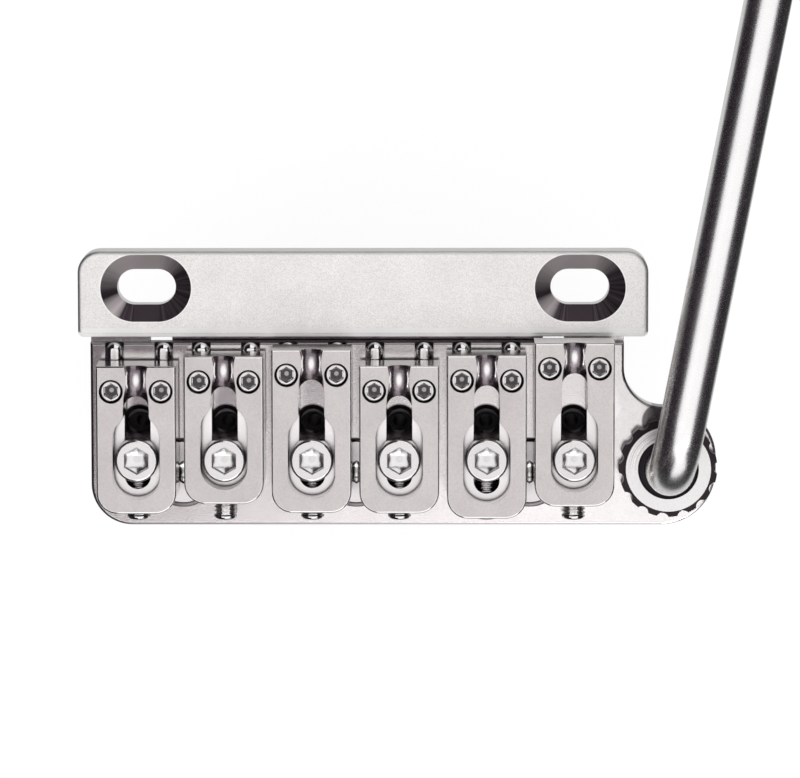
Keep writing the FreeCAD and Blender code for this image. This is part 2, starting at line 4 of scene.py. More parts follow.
import bpy
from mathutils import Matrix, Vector


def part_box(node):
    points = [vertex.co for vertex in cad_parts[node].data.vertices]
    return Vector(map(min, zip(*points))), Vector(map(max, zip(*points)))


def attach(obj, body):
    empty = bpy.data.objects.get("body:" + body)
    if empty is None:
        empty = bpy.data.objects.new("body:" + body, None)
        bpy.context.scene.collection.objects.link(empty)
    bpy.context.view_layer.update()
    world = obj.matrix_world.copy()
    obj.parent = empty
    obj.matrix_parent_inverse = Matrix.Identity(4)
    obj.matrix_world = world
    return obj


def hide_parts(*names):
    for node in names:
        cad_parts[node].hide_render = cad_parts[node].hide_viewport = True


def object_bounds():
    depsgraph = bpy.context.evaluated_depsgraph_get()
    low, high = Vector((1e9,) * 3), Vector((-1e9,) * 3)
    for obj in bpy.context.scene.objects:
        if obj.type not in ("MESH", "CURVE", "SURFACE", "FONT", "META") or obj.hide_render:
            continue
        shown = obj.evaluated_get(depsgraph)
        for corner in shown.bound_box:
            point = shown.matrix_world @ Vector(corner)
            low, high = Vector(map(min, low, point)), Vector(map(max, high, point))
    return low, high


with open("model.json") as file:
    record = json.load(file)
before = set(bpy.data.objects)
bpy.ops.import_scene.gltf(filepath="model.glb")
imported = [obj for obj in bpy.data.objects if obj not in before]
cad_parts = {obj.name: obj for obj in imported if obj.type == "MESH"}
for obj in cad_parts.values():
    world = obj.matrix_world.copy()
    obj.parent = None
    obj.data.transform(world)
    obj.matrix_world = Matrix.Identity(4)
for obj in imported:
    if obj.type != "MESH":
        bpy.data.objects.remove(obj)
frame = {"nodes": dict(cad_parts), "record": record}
cadLow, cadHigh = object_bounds()
nodes = frame["nodes"]
mm = 0.001
stringNumbers = range(1, 7)


# small helpers for shader nodes
def startMaterial(name):
    material = bpy.data.materials.new(name)
    material.use_nodes = True
    tree = material.node_tree
    return material, tree, tree.nodes["Principled BSDF"]


def addNode(tree, kind, inputs=None, **settings):
    node = tree.nodes.new(kind)
    for key, value in settings.items():
        setattr(node, key, value)
    for key, value in (inputs or {}).items():
        if isinstance(value, bpy.types.NodeSocket):
            tree.links.new(value, node.inputs[key])
        else:
            node.inputs[key].default_value = value
    return node


def sums(tree, operation, first, second=0.0):
    return addNode(tree, "ShaderNodeMath", {0: first, 1: second}, operation=operation).outputs[0]


def inverse(tree, value):
    return sums(tree, "SUBTRACT", 1.0, value)


# 1 where a value lies within half of the middle, and 0 elsewhere
def near(tree, value, middle, half):
    return addNode(tree, "ShaderNodeMath", {0: value, 1: middle, 2: half}, operation="COMPARE").outputs[0]


# some vector sums give one number, the rest a vector
def vectors(tree, operation, first, second=(0, 0, 0)):
    node = addNode(tree, "ShaderNodeVectorMath", {0: first, 1: second}, operation=operation)
    return node.outputs["Value" if operation in ("DOT_PRODUCT", "LENGTH", "DISTANCE") else "Vector"]


def splitVector(tree, vector):
    return addNode(tree, "ShaderNodeSeparateXYZ", {0: vector}).outputs


def remap(tree, value, low, high, toLow, toHigh):
    ends = {"Value": value, "From Min": low, "From Max": high, "To Min": toLow, "To Max": toHigh}
    return addNode(tree, "ShaderNodeMapRange", ends).outputs["Result"]


def grain(tree, place, size, detail, stretch=(1, 1, 1), coarseness=0.6):
    scaled = addNode(tree, "ShaderNodeMapping", {"Vector": place, "Scale": stretch}).outputs[0]
    inputs = {"Vector": scaled, "Scale": 1 / (size * mm), "Detail": detail, "Roughness": coarseness}
    return addNode(tree, "ShaderNodeTexNoise", inputs).outputs["Fac"]


def blendColor(tree, share, first, second):
    mix = addNode(tree, "ShaderNodeMix", data_type="RGBA")
    for socket, value in ((mix.inputs[0], share), (mix.inputs[6], first), (mix.inputs[7], second)):
        if isinstance(value, bpy.types.NodeSocket):
            tree.links.new(value, socket)
        else:
            socket.default_value = value if isinstance(value, float) else (*value, 1)
    return mix.outputs[2]


# level offset from an upright axis
def fromAxis(tree, place, axis):
    return vectors(tree, "MULTIPLY", vectors(tree, "SUBTRACT", place, axis), (1, 1, 0))


# marks run along one direction, or in circles where a piece was turned about an upright axis
def toolMarks(tree, place, look):
    if "turnedAbout" not in look:
        return grain(tree, place, look["markWidth"], look["markDetail"], look["markStretch"])
    radius = vectors(tree, "LENGTH", fromAxis(tree, place, look["turnedAbout"]))
    inputs = {"W": radius, "Scale": 1 / (look["markWidth"] * mm), "Detail": look["markDetail"]}
    return addNode(tree, "ShaderNodeTexNoise", inputs, noise_dimensions="1D").outputs["Fac"]


# dark sides of the mounting slots with radial streaks, painted dark with painted light fans by heading: the
# sides, their streaks and fans, and the lip for a painted highlight
def countersink(tree, place, at, upward, slot):
    across = sums(tree, "SUBTRACT", sums(tree, "ABSOLUTE", at["X"]), slot["spacing"] / 2)
    ends = {"Value": across, "Min": -slot["reach"], "Max": slot["reach"]}
    straight = addNode(tree, "ShaderNodeClamp", ends).outputs[0]
    pastEnd = sums(tree, "SUBTRACT", across, straight)
    sideways = sums(tree, "MULTIPLY", pastEnd, sums(tree, "SIGN", at["X"]))
    ray = addNode(tree, "ShaderNodeCombineXYZ", {"X": sideways, "Y": at["Y"]}).outputs[0]
    distance = vectors(tree, "LENGTH", ray)
    inside = sums(tree, "LESS_THAN", distance, slot["rim"])
    steepest, flattest = slot["slopes"]
    notFlat = sums(tree, "LESS_THAN", upward, flattest)
    sloped = sums(tree, "MULTIPLY", notFlat, sums(tree, "GREATER_THAN", upward, steepest))
    heading = vectors(tree, "NORMALIZE", ray)
    placed = vectors(tree, "ADD", heading, place)
    inputs = {"Vector": placed, "Scale": slot["streaks"],
              "Detail": slot["streakDetail"], "Roughness": slot["streakCoarseness"]}
    streak = addNode(tree, "ShaderNodeTexNoise", inputs).outputs["Fac"]
    light = remap(tree, streak, *slot["streakRange"], 0.0, slot["streakShare"])
    for fan in slot["fans"]:
        toward = vectors(tree, "DOT_PRODUCT", heading, fan["toward"])
        lit = remap(tree, toward, fan["from"], fan["full"], 0.0, fan["share"])
        light = sums(tree, "ADD", light, lit)
    lip = near(tree, distance, slot["rim"] + slot["lip"], slot["lip"])
    return sums(tree, "MULTIPLY", inside, sloped), light, lip


# the rims of a row of holes, painted dark as a painted shadow under the saddles
def nearHoles(tree, at, holes):
    steps = sums(tree, "DIVIDE", sums(tree, "SUBTRACT", at["X"], holes["first"]), holes["pitch"])
    nearest = sums(tree, "ROUND", steps)
    across = sums(tree, "MULTIPLY", sums(tree, "SUBTRACT", steps, nearest), holes["pitch"])
    along = sums(tree, "SUBTRACT", at["Y"], holes["behind"])
    offset = addNode(tree, "ShaderNodeCombineXYZ", {"X": across, "Y": along}).outputs[0]
    distance = vectors(tree, "LENGTH", offset)
    return remap(tree, distance, holes["radius"], holes["radius"] + holes["fade"], holes["tone"], 0.0)


# where each mask starts and is full: edge wear with a painted highlight by how well the rounded edge agrees
# with the face, the others by how far the face points up or to the front
maskLook = {
    "wearAndSheen": (0.995, 0.9), "flat": (0.95, 0.99), "sloped": (0.15, 0.4), "rearFacing": (-0.1, -0.3),
}


# the rounded rear edge catches the light of the flat beside it
def softenEdge(tree, look, spot, forward):
    lean = sums(tree, "MULTIPLY", spot["sloped"], look["softEdge"])
    lean = sums(tree, "MULTIPLY", lean, remap(tree, forward, *maskLook["rearFacing"], 0.0, 1.0))
    lean = sums(tree, "MULTIPLY", lean, inverse(tree, spot["sink"]))
    inputs = {0: lean, 4: spot["rounded"], 5: (0, 0, 1)}
    leaned = addNode(tree, "ShaderNodeMix", inputs, data_type="VECTOR").outputs[1]
    return vectors(tree, "NORMALIZE", leaned)


# what the finish needs to know of each spot: flat or sloped, with wear and a painted highlight, low, tucked
# away in painted shade
def surfaceMasks(tree, look):
    place = addNode(tree, "ShaderNodeTexCoord").outputs["Object"]
    normal = addNode(tree, "ShaderNodeNewGeometry").outputs["Normal"]
    at = splitVector(tree, place)
    facing = splitVector(tree, normal)
    edgeRadius = {"Radius": look["edge"] * mm}
    rounded = addNode(tree, "ShaderNodeBevel", edgeRadius, samples=look["edgeSamples"]).outputs[0]
    wearAndSheen = remap(tree, vectors(tree, "DOT_PRODUCT", rounded, normal), *maskLook["wearAndSheen"], 0.0, 1.0)
    flat = remap(tree, facing["Z"], *maskLook["flat"], 0.0, 1.0)
    notSteep = remap(tree, facing["Z"], *maskLook["sloped"], 0.0, 1.0)
    sloped = sums(tree, "MULTIPLY", inverse(tree, flat), notSteep)
    spot = {
        "place": place, "at": at, "rounded": rounded, "flat": flat, "sloped": sloped,
        "edge": sums(tree, "MAXIMUM", wearAndSheen, sloped),
        "speckle": grain(tree, place, look["speckle"], look["speckleDetail"]),
        "cloud": grain(tree, place, look["cloud"], look["cloudDetail"]),
        "marks": toolMarks(tree, place, look),
    }
    if "slot" in look:
        sunk = countersink(tree, place, at, facing["Z"], look["slot"])
        spot["sink"], spot["scoring"], spot["lip"] = sunk
    if "softEdge" in look:
        spot["rounded"] = softenEdge(tree, look, spot, facing["Y"])
    if "lowBelow" in look:  # grooves and recess floors below the top face: grooves painted dark as a painted dark reflection, floors painted light as a painted highlight
        low = sums(tree, "LESS_THAN", at["Z"], look["lowBelow"])
        spot["groove"] = sums(tree, "MULTIPLY", sloped, low)
        spot["lowFlat"] = sums(tree, "MULTIPLY", flat, low)
        spot["edge"] = sums(tree, "MAXIMUM", wearAndSheen, sums(tree, "SUBTRACT", sloped, spot["groove"]))
    if "band" in look:  # a strip along the rear edge with a smoother polish, painted light as a painted highlight
        spot["band"] = near(tree, at["Y"], look["band"]["middle"], look["band"]["half"])

    # painted shade: ambient occlusion darkens the colour in crevices, recesses, sockets and between parts
    reach = {"Distance": look["creviceReach"] * mm}
    around = addNode(tree, "ShaderNodeAmbientOcclusion", reach, samples=look["creviceSamples"])
    openness = around.outputs["AO"]
    fullyOpen = remap(tree, flat, 0.0, 1.0, look["wallOpen"], look["flatOpen"])
    spot["crevice"] = remap(tree, openness, look["creviceFull"], fullyOpen, look["creviceTone"], 0.0)
    if "ledge" in look:  # the low ledge behind the plate gets no painted crevice shade
        spot["ledge"] = sums(tree, "LESS_THAN", at["Y"], look["ledge"]["from"])
        spot["crevice"] = sums(tree, "MULTIPLY", spot["crevice"], inverse(tree, spot["ledge"]))
    return spot


# dark turning lines painted in one quarter only, a painted shade of the turning marks where the light
# catches them
def paintedCatchLines(tree, look, spot):
    catch = look["catch"]
    heading = vectors(tree, "NORMALIZE", fromAxis(tree, spot["place"], look["turnedAbout"]))
    quarter = vectors(tree, "DOT_PRODUCT", heading, catch["toward"])
    quarter = remap(tree, quarter, *catch["quarter"], 0.0, catch["share"])
    return sums(tree, "MULTIPLY", quarter, remap(tree, spot["marks"], *catch["lines"], 0.0, 1.0))


# clouds and dots first, then edges with painted highlights and special places, and painted shade in the
# crevices last
def metalColor(tree, look, spot):
    clouds = remap(tree, spot["cloud"], *look["grainRange"], 0.0, 1.0)
    color = blendColor(tree, clouds, look["color"], look["shade"])
    dots = remap(tree, spot["speckle"], *look["dotRange"], 0.0, look["speckleTone"])
    color = blendColor(tree, sums(tree, "MULTIPLY", dots, spot["flat"]), color, look["dark"])
    if "catch" in look:
        color = blendColor(tree, paintedCatchLines(tree, look, spot), color, look["dark"])
    # recess floors painted light, a painted highlight, and grooves painted dark, a painted dark reflection
    if "lowBelow" in look:
        color = blendColor(tree, spot["lowFlat"], color, look["floor"])
        color = blendColor(tree, spot["groove"], color, look["groove"])
    # edges and slopes are painted toward the painted reflection colour: a painted highlight on most pieces,
    # a painted dark reflection on the base plate
    paintedEdgeShare = sums(tree, "MULTIPLY", spot["edge"], look["edgeTone"])
    color = blendColor(tree, paintedEdgeShare, color, look["paintedReflection"])
    # painted shadow round the string holes
    if "holes" in look:
        color = blendColor(tree, nearHoles(tree, spot["at"], look["holes"]), color, look["paintedShade"])
    # the slots' sides are painted dark with painted light fans, and their lip painted light as a painted
    # highlight
    if "slot" in look:
        paintedSinkTone = blendColor(tree, spot["scoring"], look["slot"]["dark"], look["slot"]["light"])
        color = blendColor(tree, spot["sink"], color, paintedSinkTone)
        color = blendColor(tree, spot["lip"], color, look["paintedReflection"])
    # painted highlight along the front plate's rear edge
    if "band" in look:
        color = blendColor(tree, spot["band"], color, look["paintedReflection"])
    # the ledge behind the plate is painted dark, a painted dark reflection in the slit between the plates
    if "ledge" in look:
        color = blendColor(tree, spot["ledge"], color, look["ledge"]["color"])
    return blendColor(tree, spot["crevice"], color, look["paintedShade"])


def metalRoughness(tree, look, spot):
    edge = spot["edge"]
    if "band" in look:
        edge = sums(tree, "MAXIMUM", edge, spot["band"])
    spread = look["roughSpread"]
    level = remap(tree, spot["flat"], 0.0, 1.0, look["wallRough"], look["flatRough"])
    for noise in (spot["speckle"], spot["cloud"]):
        level = sums(tree, "ADD", level, remap(tree, noise, *look["grainRange"], -spread, spread))
    level = sums(tree, "SUBTRACT", level, sums(tree, "MULTIPLY", edge, look["edgeShine"]))
    level = sums(tree, "ADD", level, sums(tree, "MULTIPLY", spot["crevice"], look["creviceRough"]))
    if "lowBelow" in look:
        shine = sums(tree, "MULTIPLY", spot["lowFlat"], look["floorShine"])
        level = sums(tree, "SUBTRACT", level, shine)
        level = sums(tree, "ADD", level, sums(tree, "MULTIPLY", spot["groove"], look["grooveRough"]))
    if "ledge" in look:
        level = sums(tree, "SUBTRACT", level, sums(tree, "MULTIPLY", spot["ledge"], look["flatRough"]))
    if "fineRough" in look:  # smooth metal scattered with fine rough grain
        fine = look["fineRough"]
        grains = grain(tree, spot["place"], fine["size"], fine["detail"])
        grains = sums(tree, "GREATER_THAN", grains, fine["above"])
        level = sums(tree, "ADD", level, sums(tree, "MULTIPLY", grains, fine["more"]))
    return sums(tree, "MAXIMUM", level, look["smoothest"])


def metalRelief(tree, look, spot):
    tooling = {"Height": spot["marks"], "Strength": look["markDepth"],
               "Distance": look["markHeight"] * mm, "Normal": spot["rounded"]}
    tooled = addNode(tree, "ShaderNodeBump", tooling).outputs[0]
    pitting = sums(tree, "MULTIPLY", spot["speckle"], spot["flat"])
    dents = {"Height": pitting, "Strength": look["speckleDepth"],
             "Distance": look["speckleHeight"] * mm, "Normal": tooled}
    return addNode(tree, "ShaderNodeBump", dents).outputs[0]


# one metal recipe: speckled flats, smoother walls, edges with polish and painted highlights, fine tool
# marks, painted shade in the crevices
def metalFinish(name, look):
    material, tree, shader = startMaterial(name)
    spot = surfaceMasks(tree, look)
    tree.links.new(metalColor(tree, look, spot), shader.inputs["Base Color"])
    tree.links.new(metalRoughness(tree, look, spot), shader.inputs["Roughness"])
    tree.links.new(metalRelief(tree, look, spot), shader.inputs["Normal"])
    shader.inputs["Metallic"].default_value = look["metallic"]
    shader.inputs["Specular IOR Level"].default_value = look["specular"]
    return material


# the mounting slots' sizes come from the record, the rest is their machined look with painted light and
# shade
mounts = {mount["name"]: mount for mount in frame["record"]["mounts"]}
slotDims = mounts["mounting_slots"]["dims"]
slotRadius = slotDims["hole_r_mm"] * mm
sinkWidth = 2.04 * mm
mountingSlot = {
    "spacing": slotDims["spacing_x_mm"] * mm, "reach": slotDims["slot_length_mm"] / 2 * mm - slotRadius,
    "rim": slotRadius + sinkWidth, "lip": 0.07 * mm, "slopes": (0.4, 0.9),
    "streaks": 9.0, "streakDetail": 3.0, "streakCoarseness": 0.7,
    "streakRange": (0.4, 0.7), "streakShare": 0.12,
    "dark": (0.055, 0.04, 0.052), "light": (0.85, 0.79, 0.8),
    "fans": [
        {"toward": (-0.35, 0.94, 0), "from": 0.2, "full": 0.95, "share": 1.0},
        {"toward": (-0.75, -0.66, 0), "from": 0.92, "full": 0.99, "share": 0.9},
    ],
}

# string holes in the base plate, spaced as the clamp screws are
clampLow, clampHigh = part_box("clamp_screws")
clampHead = (clampHigh.y - clampLow.y) / 2
stringPitch = (clampHigh.x - clampLow.x - 2 * clampHead) / (len(stringNumbers) - 1)
stringHoles = {"first": clampLow.x + clampHead, "pitch": stringPitch, "behind": -17.3 * mm,
               "radius": 2.2 * mm, "fade": 0.2 * mm, "tone": 0.8}

armLow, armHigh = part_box("arm_bushing")
armAxis = (armLow + armHigh) / 2
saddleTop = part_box("saddle_1")[1].z

# sizes of grain, marks and edges are in millimetres
steel = {
    "color": (0.78, 0.755, 0.745), "shade": (0.73, 0.7, 0.69),
    "dark": (0.42, 0.38, 0.39), "paintedReflection": (0.97, 0.96, 0.95), "paintedShade": (0.03, 0.02, 0.03),
    "speckle": 0.16, "speckleDetail": 3.0, "speckleTone": 0.3,
    "speckleDepth": 0.25, "speckleHeight": 0.02, "dotRange": (0.42, 0.62),
    "cloud": 5.0, "cloudDetail": 4.0, "grainRange": (0.3, 0.7),
    "flatRough": 0.4, "wallRough": 0.2, "roughSpread": 0.04, "smoothest": 0.05,
    "edge": 0.1, "edgeSamples": 6, "edgeTone": 0.85, "edgeShine": 0.1, "metallic": 1.0, "specular": 0.5,
    "markWidth": 0.05, "markDetail": 2.0, "markDepth": 0.15, "markHeight": 0.01,
    "markStretch": (0.03, 1, 1), "creviceReach": 1.6, "creviceSamples": 8, "creviceFull": 0.12,
    "wallOpen": 0.5, "flatOpen": 0.5, "creviceTone": 0.95, "creviceRough": 0.3,
}
frontPlate = steel | {
    "color": (0.92, 0.9, 0.88), "shade": (0.88, 0.86, 0.84), "slot": mountingSlot,
    "band": {"middle": -5.5 * mm, "half": 0.3 * mm}, "wallRough": 0.4, "edgeShine": -0.1, "softEdge": 0.85,
    "ledge": {"from": -6.4 * mm, "color": (0.3, 0.25, 0.28)},
}
basePlate = steel | {
    "color": (0.92, 0.895, 0.885), "shade": (0.87, 0.845, 0.835), "paintedReflection": (0.4, 0.35, 0.37),
    "flatRough": 0.14, "roughSpread": 0.01, "edgeShine": -0.1, "markDepth": 0.2, "speckleTone": 0.12,
    "flatOpen": 0.3, "creviceFull": 0.05, "holes": stringHoles,
    "fineRough": {"size": 0.03, "detail": 1.0, "above": 0.59, "more": 0.34},
}
saddle = steel | {
    "color": (0.69, 0.655, 0.645), "shade": (0.65, 0.61, 0.605), "flatRough": 0.42, "wallRough": 0.16,
    "creviceFull": 0.46, "wallOpen": 0.8, "flatOpen": 0.66, "creviceReach": 0.8,
    "lowBelow": saddleTop - 0.35 * mm, "floor": (0.95, 0.925, 0.92), "floorShine": 0.1,
    "groove": (0.27, 0.23, 0.25), "grooveRough": 0.1,
}
screw = steel | {
    "color": (0.76, 0.74, 0.735), "shade": (0.72, 0.7, 0.7), "paintedReflection": (0.88, 0.865, 0.86),
    "flatRough": 0.2, "wallRough": 0.14, "roughSpread": 0.03, "speckleTone": 0.1, "speckleDepth": 0.08,
    "edge": 0.05, "markStretch": (1, 1, 0.05), "creviceTone": 0.85, "creviceReach": 2.0, "creviceFull": 0.2,
}
armFinish = steel | {
    "color": (0.98, 0.97, 0.965), "shade": (0.96, 0.945, 0.94), "paintedReflection": (0.98, 0.97, 0.965),
    "flatRough": 0.27, "wallRough": 0.27, "roughSpread": 0.03, "speckleTone": 0.05, "speckleDepth": 0.1,
    "edgeShine": 0.0, "markStretch": (1, 0.04, 1),
}
bearing = steel | {
    "color": (0.87, 0.86, 0.85), "shade": (0.84, 0.825, 0.82), "paintedReflection": (0.87, 0.86, 0.85),
    "flatRough": 0.3, "wallRough": 0.16, "speckleTone": 0.1, "speckleDepth": 0.05,
    "turnedAbout": armAxis, "markWidth": 0.2, "markDepth": 1.0,
    "catch": {"toward": (-0.64, 0.77, 0.0), "quarter": (0.5, 0.95), "share": 0.7, "lines": (0.47, 0.6)},
}
wheel = steel | {
    "color": (0.05, 0.04, 0.045), "shade": (0.035, 0.028, 0.032), "dark": (0.02, 0.015, 0.02),
    "paintedReflection": (0.24, 0.21, 0.22), "flatRough": 0.35, "wallRough": 0.3, "edge": 0.08,
}
block = steel | {
    "color": (0.62, 0.6, 0.59), "shade": (0.56, 0.54, 0.53), "flatRough": 0.34, "wallRough": 0.3,
    "markStretch": (0.02, 1, 0.6), "markDepth": 0.5, "edge": 0.2,
    "creviceReach": 8.0, "creviceTone": 0.9, "creviceFull": 0.06, "wallOpen": 0.3, "flatOpen": 0.3,
}
bronze = steel | {
    "color": (0.66, 0.46, 0.24), "shade": (0.58, 0.39, 0.2), "dark": (0.3, 0.19, 0.09),
    "paintedReflection": (0.85, 0.66, 0.4), "markStretch": (1, 0.04, 0.04), "markDepth": 0.4,
}
nylon = steel | {
    "color": (0.02, 0.018, 0.02), "shade": (0.03, 0.027, 0.03), "dark": (0.012, 0.01, 0.012),
    "paintedReflection": (0.03, 0.027, 0.03), "metallic": 0.0, "specular": 0.15, "flatRough": 0.55, "wallRough": 0.5,
}
finishes = {
    "frontPlate": frontPlate, "basePlate": basePlate, "saddle": saddle, "screw": screw, "arm": armFinish,
    "bearing": bearing, "wheel": wheel, "block": block, "bronze": bronze, "nylon": nylon,
    "capScrew": screw | {"wallRough": 0.26, "creviceTone": 0.5},
    "setScrew": screw | {"creviceTone": 0.62, "creviceRough": 0.0},
}
materials = {name: metalFinish(name, look) for name, look in finishes.items()}
print("finishes made:", len(materials))

# finishes of the solids that keep their own shape
dressed = {
    "front_plate": "frontPlate", "base_plate": "basePlate", "inertia_block": "block",
    "pivot_bushes": "bronze", "pivot_pins": "screw", "guide_rods": "screw", "arm": "arm",
    "arm_bushing": "bearing", "arm_sleeve": "nylon", "bushing_nut": "screw", "tension_wheel": "wheel",
} | {f"saddle_{number}": "saddle" for number in stringNumbers}
for node, finish in dressed.items():
    nodes[node].data.materials.clear()
    nodes[node].data.materials.append(materials[finish])
print("solids dressed:", len(dressed))

# turned pieces are rings round an axis: (radius, height, shape), with a slope or a thread's pitch and depth
threadForm = {"steepness": 1.5, "crest": 0.25}
turning = {"segments": 48, "sharpFrom": 38}


def ringRadius(ring, angle):
    radius, height, shape = ring[:3]
    if shape in ("hex", "hexCone"):
        sixth = math.pi / 3
        return radius / math.cos((angle + sixth / 2) % sixth - sixth / 2)
    if shape == "thread":
        pitch, depth = ring[3:]
        turn = (height / pitch - angle / (2 * math.pi)) % 1.0
        wave = abs(2 * turn - 1) * threadForm["steepness"] - threadForm["crest"]
        return radius - depth * min(max(wave, 0.0), 1.0)
    return radius


def turnedMesh(name, screws):
    segments = turning["segments"]
    vertices, faces = [], []
    angles = [2 * math.pi * step / segments for step in range(segments)]
    for origin, across, upright, along, rings in screws:
        start = len(vertices)
        for ring in rings:
            for angle in angles:
                reach = ringRadius(ring, angle)
                height = ring[1] + (reach - ring[0]) * ring[3] if ring[2] == "hexCone" else ring[1]
                side = across * math.cos(angle) + upright * math.sin(angle)
                vertices.append(origin + side * reach + along * height)
        for level in range(len(rings) - 1):
            low, high = start + level * segments, start + (level + 1) * segments
            for step in range(segments):
                after = (step + 1) % segments
                faces.append((low + step, low + after, high + after, high + step))
        last = start + (len(rings) - 1) * segments
        faces.append(tuple(start + step for step in reversed(range(segments))))
        faces.append(tuple(last + step for step in range(segments)))
    mesh = bpy.data.meshes.new(name)
    mesh.from_pydata(vertices, [], faces)
    mesh.shade_smooth()
    mesh.set_sharp_from_angle(angle=math.radians(turning["sharpFrom"]))
    piece = bpy.data.objects.new(name, mesh)
    bpy.context.scene.collection.objects.link(piece)
    return piece


def threadRings(low, high, radius, thread):
    count = max(2, round((high - low) / thread["pitch"] * thread["rings"]))
    heights = [low + (high - low) * step / count for step in range(count + 1)]
    return [(radius, height, "thread", thread["pitch"], thread["depth"]) for height in heights]


# a quarter round from the side of a screw up to its top
def roundedRings(radius, top, look):
    rings = []
    for step in range(look["roundSteps"] + 1):
        turn = math.pi / 2 * step / look["roundSteps"]
        inward = look["round"] * (1 - math.cos(turn))
        rings.append((radius - inward, top - look["round"] * (1 - math.sin(turn)), "round"))
    return rings


# a hexagon socket with a chamfered mouth and a coned floor
def socketRings(top, look):
    apothem, mouth, floor = look["hex"], look["mouth"], top - look["hexDepth"]
    pit = apothem * look["pitShare"]
    pitFloor = floor - (apothem - pit) * look["pitSlope"]
    return [
        (apothem + mouth, top, "hex"), (apothem, top - mouth, "hex"),
        (apothem, floor, "hexCone", look["pitSlope"]), (pit, pitFloor, "round"),
    ]


# across, upright and along for screws that stand up or point to the rear
upAxes = (Vector((1, 0, 0)), Vector((0, 1, 0)), Vector((0, 0, 1)))
rearAxes = (Vector((1, 0, 0)), Vector((0, 0, 1)), Vector((0, -1, 0)))
socketLook = {"mouth": 0.06 * mm, "pitShare": 0.35, "pitSlope": 0.6}
fineThread = {"pitch": 0.5 * mm, "depth": 0.27 * mm, "rings": 10}


def finishPiece(piece, node, body, finish):
    piece.data.materials.append(materials[finish])
    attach(piece, body)
    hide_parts(node)
    return piece


# an even row of upright screws that share one node on the bridge
def screwRow(name, node, look, count, makeRings, finish):
    low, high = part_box(node)
    pitch = (high.x - low.x - 2 * look["head"]) / (count - 1)
    middle = (low.y + high.y) / 2
    centres = [Vector((low.x + look["head"] + pitch * index, middle, low.z)) for index in range(count)]
    rings = makeRings(high.z - low.z)
    screws = [(centre, *upAxes, rings) for centre in centres]
    finishPiece(turnedMesh(name, screws), node, "bridge", finish)


# set screws, seen as a domed ring round a hexagon socket with a wide mouth
setScrew = {"point": 0.5 * mm, "pointShare": 0.6, "round": 0.5 * mm, "roundSteps": 6,
            "hex": 0.75 * mm, "hexDepth": 1.0 * mm, "mouth": 0.18 * mm, "pitShare": 0.4, "pitSlope": 1.5}


def setScrewRings(radius, length):
    tip = [(radius * setScrew["pointShare"], 0.0, "round")]
    shank = threadRings(setScrew["point"], length - setScrew["round"], radius, fineThread)
    return tip + shank + roundedRings(radius, length, setScrew) + socketRings(length, setScrew)


for number in stringNumbers:
    low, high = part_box(f"height_screws_{number}")
    radius = (high.y - low.y) / 2
    centres = [Vector((x, low.y + radius, low.z)) for x in (low.x + radius, high.x - radius)]
    rings = setScrewRings(radius, high.z - low.z)
    pair = turnedMesh(f"heightScrews{number}", [(centre, *upAxes, rings) for centre in centres])
    finishPiece(pair, f"height_screws_{number}", f"carriage_{number}", "setScrew")

    low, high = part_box(f"intonation_screw_{number}")
    radius = (high.x - low.x) / 2
    centre = Vector((low.x + radius, high.y, low.z + radius))
    rings = setScrewRings(radius, high.y - low.y)
    single = turnedMesh(f"intonationScrew{number}", [(centre, *rearAxes, rings)])
    finishPiece(single, f"intonation_screw_{number}", f"intonation_{number}", "screw")

# clamp screws with round-edged cap heads
clampScrew = socketLook | {
    "shank": 1.5 * mm, "head": 2.75 * mm, "headHeight": 3.0 * mm, "round": 0.45 * mm, "roundSteps": 4,
    "flatFrom": 0.05 * mm, "tip": 0.3 * mm, "hex": 1.5 * mm, "hexDepth": 1.6 * mm,
}


def clampScrewRings(length):
    look = clampScrew
    seat = length - look["headHeight"]
    chamfer = look["tip"] / 2
    rings = [(look["shank"] - look["tip"], 0.0, "round")]
    rings += threadRings(look["tip"], seat, look["shank"], fineThread)
    rings += [(look["shank"], seat, "round"), (look["head"] - chamfer, seat, "round")]
    rings += [(look["head"], seat + chamfer, "round")]
    rings += roundedRings(look["head"], length, look)
    rings += [(look["head"] - look["round"] - look["flatFrom"], length, "round")]
    return rings + socketRings(length, look)


screwRow("clampScrews", "clamp_screws", clampScrew, len(stringNumbers), clampScrewRings, "capScrew")

# countersunk screws between the saddles
blockScrew = socketLook | {
    "shank": 2.0 * mm, "head": 4.45 * mm, "rim": 0.12 * mm, "groove": 0.4 * mm,
    "hex": 1.25 * mm, "hexDepth": 1.5 * mm, "count": 3,
    "pitch": 0.7 * mm, "depth": 0.38 * mm, "rings": 10,
}


def blockScrewRings(length):
    look = blockScrew
    cone = length - look["head"] + look["shank"]
    inner = look["head"] - look["groove"]
    shoulder = length - look["groove"]
    rings = [(look["shank"] - look["depth"], 0.0, "round")]
    rings += threadRings(look["depth"], cone, look["shank"], look)
    rings += [(look["shank"], cone, "round"), (look["head"], shoulder - look["rim"], "round")]
    rings += [(inner, shoulder, "round"), (inner - look["rim"], length, "round")]
    return rings + socketRings(length, look)


screwRow("blockScrews", "block_screws", blockScrew, blockScrew["count"], blockScrewRings, "screw")
screwsAString = 4  # two for height, one for intonation, one clamp
print("screws turned:", screwsAString * len(stringNumbers) + blockScrew["count"])

# studio: a white table, dark walls and a dark flag for the metal to mirror, and an open white sky
floorLevel = cadLow.z
studio = {"floorHalf": 4.0, "floorPaint": (0.9, 0.9, 0.9, 1), "shadowShare": 0.12,
          "glowAt": (0.01, -0.01), "glowReach": 0.075, "glowFade": 0.02,
          "glow": 0.65, "glowOutside": 0.03, "wallTone": (0.012, 0.008, 0.012)}


